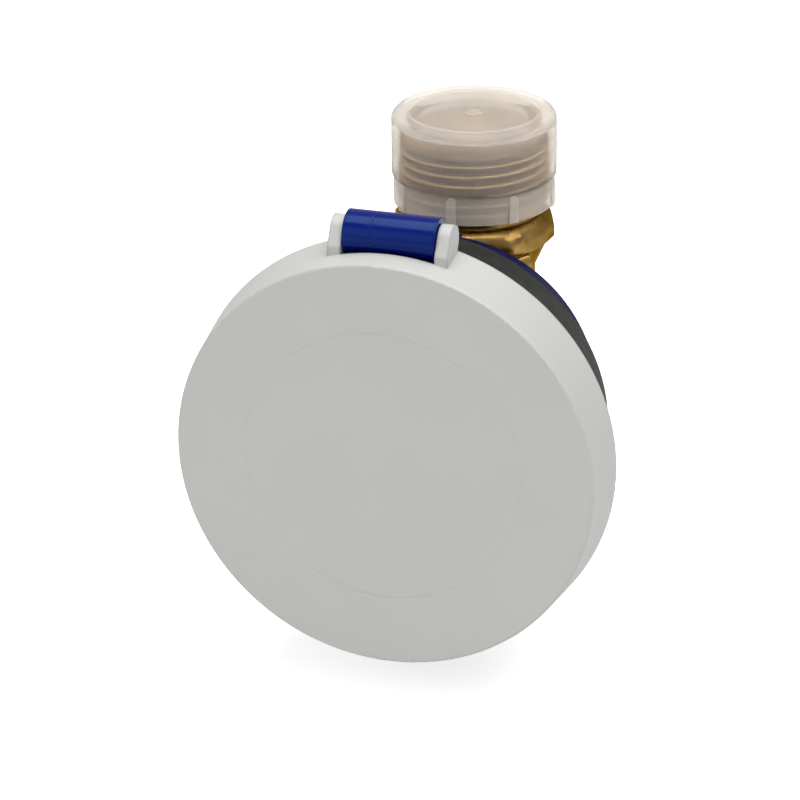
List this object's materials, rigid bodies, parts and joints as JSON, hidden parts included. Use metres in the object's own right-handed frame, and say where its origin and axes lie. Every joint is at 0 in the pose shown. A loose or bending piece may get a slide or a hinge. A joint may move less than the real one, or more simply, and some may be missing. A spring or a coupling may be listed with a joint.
{
  "type": "water meter",
  "caption": "Single-jet dry-dial water meter with threaded brass ends under translucent caps, a hinged lid and a geared drum counter.",
  "frame": {"origin": "centre of the inlet (lower) end face of the brass body, on the pipe axis", "axes": "+Z along the pipe from inlet to outlet; the register and its lid face -Y; +X to the right of someone reading the dial"},
  "size_m": [0.0744, 0.0691, 0.0884],
  "materials": {
    "brass": "cast and tumbled brass, slightly dull",
    "pale_plastic": "fine-grained moulding",
    "dark_plastic": "matt moulding",
    "blue_plastic": "glossy moulding",
    "milky_plastic": "translucent soft polyethylene",
    "steel": "ground wire",
    "white_plastic": "white acetal",
    "black_plastic": "black moulding",
    "red_plastic": "red moulding",
    "magnet": "sintered ferrite",
    "seal_rubber": "moulded ring",
    "jewel": "polished synthetic stone",
    "clear": "clear moulded polycarbonate"
  },
  "bodies": {
    "meter": {"meter_body": "brass", "inlet_strainer": "white_plastic", "pivot_pin": "steel", "separating_plate": "black_plastic", "plate_seal": "seal_rubber", "clamp_ring": "brass", "shield_ring": "steel"},
    "register": {"register_base": "white_plastic", "counter_frame": "white_plastic", "drum_shaft": "steel", "carry_shaft": "steel", "dial_plate": "white_plastic", "register_window": "clear", "register_shroud": "dark_plastic", "hinge_ring": "blue_plastic", "number_drum_4": "black_plastic", "number_drum_5": "black_plastic", "number_drum_6": "black_plastic", "number_drum_7": "black_plastic", "number_drum_8": "black_plastic", "carry_pinion_3": "white_plastic", "carry_pinion_4": "white_plastic", "carry_pinion_5": "white_plastic", "carry_pinion_6": "white_plastic", "carry_pinion_7": "white_plastic"},
    "lid_body": {"lid": "pale_plastic", "hinge_pin": "steel"},
    "upper_cap": {"upper_thread_cap": "milky_plastic"},
    "lower_cap": {"lower_thread_cap": "milky_plastic"},
    "impeller_body": {"impeller": "white_plastic", "impeller_magnet": "magnet", "impeller_spindle": "steel", "bearing_stone": "jewel"},
    "follower_body": {"follower_magnet": "magnet", "drive_arbor": "white_plastic"},
    "first_body": {"first_wheel": "white_plastic", "flow_star": "red_plastic"},
    "second_body": {"second_wheel": "white_plastic", "sweep_pointer": "red_plastic"},
    "third_body": {"third_wheel": "white_plastic"},
    "counter_drive_body": {"counter_drive_wheel": "white_plastic"},
    "drum_1_body": {"number_drum_1": "red_plastic"},
    "drum_2_body": {"number_drum_2": "red_plastic"},
    "drum_3_body": {"number_drum_3": "red_plastic"},
    "carry_1_body": {"carry_pinion_1": "white_plastic"},
    "carry_2_body": {"carry_pinion_2": "white_plastic"}
  },
  "joints": [
    {"name": "register_turn", "type": "hinge", "parent": "meter", "child": "register", "pos_m": [0, -0.02, 0.04], "axis": [0, -1, 0], "range_deg": [-175, 175]},
    {"name": "lid_hinge", "type": "hinge", "parent": "register", "child": "lid_body", "pos_m": [0, -0.04621, 0.0782], "axis": [-1, 0, 0], "range_deg": [0, 120]},
    {"name": "upper_cap_pull", "type": "slide", "parent": "meter", "child": "upper_cap", "axis": [0, 0, 1], "range_m": [0, 0.04]},
    {"name": "lower_cap_pull", "type": "slide", "parent": "meter", "child": "lower_cap", "axis": [0, 0, -1], "range_m": [0, 0.04]},
    {"name": "impeller_spin", "type": "hinge", "parent": "meter", "child": "impeller_body", "pos_m": [0, 0, 0.04], "axis": [0, -1, 0], "continuous": true},
    {"name": "follower_spin", "type": "hinge", "parent": "register", "child": "follower_body", "pos_m": [0, -0.015, 0.04], "axis": [0, -1, 0], "continuous": true},
    {"name": "first_spin", "type": "hinge", "parent": "register", "child": "first_body", "pos_m": [-0.0086, -0.0225, 0.03398], "axis": [0, -1, 0], "continuous": true},
    {"name": "second_spin", "type": "hinge", "parent": "register", "child": "second_body", "pos_m": [0, -0.0245, 0.02795], "axis": [0, -1, 0], "continuous": true},
    {"name": "third_spin", "type": "hinge", "parent": "register", "child": "third_body", "pos_m": [0.00894, -0.0265, 0.03346], "axis": [0, -1, 0], "continuous": true},
    {"name": "counter_drive_spin", "type": "hinge", "parent": "register", "child": "counter_drive_body", "pos_m": [0.014, -0.0265, 0.045], "axis": [0, -1, 0], "continuous": true},
    {"name": "drum_1_spin", "type": "hinge", "parent": "register", "child": "drum_1_body", "pos_m": [0.01, -0.03521, 0.045], "axis": [1, 0, 0], "continuous": true},
    {"name": "drum_2_spin", "type": "hinge", "parent": "register", "child": "drum_2_body", "pos_m": [0.0065, -0.03521, 0.045], "axis": [1, 0, 0], "continuous": true},
    {"name": "drum_3_spin", "type": "hinge", "parent": "register", "child": "drum_3_body", "pos_m": [0.0029, -0.03521, 0.045], "axis": [1, 0, 0], "continuous": true},
    {"name": "carry_1_spin", "type": "hinge", "parent": "register", "child": "carry_1_body", "pos_m": [0.008, -0.03311, 0.05019], "axis": [1, 0, 0], "continuous": true},
    {"name": "carry_2_spin", "type": "hinge", "parent": "register", "child": "carry_2_body", "pos_m": [0.0044, -0.03311, 0.05019], "axis": [1, 0, 0], "continuous": true}
  ],
  "couplings": [
    {"joint": "follower_spin", "follows": "impeller_spin", "ratio": 1},
    {"joint": "first_spin", "follows": "impeller_spin", "ratio": -0.25},
    {"joint": "second_spin", "follows": "impeller_spin", "ratio": 0.0625},
    {"joint": "third_spin", "follows": "impeller_spin", "ratio": -0.015625},
    {"joint": "counter_drive_spin", "follows": "impeller_spin", "ratio": 0.03125},
    {"joint": "drum_1_spin", "follows": "impeller_spin", "ratio": -0.015625},
    {"joint": "drum_2_spin", "follows": "impeller_spin", "ratio": -0.0015625},
    {"joint": "drum_3_spin", "follows": "impeller_spin", "ratio": -0.00015625},
    {"joint": "carry_1_spin", "follows": "impeller_spin", "ratio": 0.0039062},
    {"joint": "carry_2_spin", "follows": "impeller_spin", "ratio": 0.00039063}
  ]
}
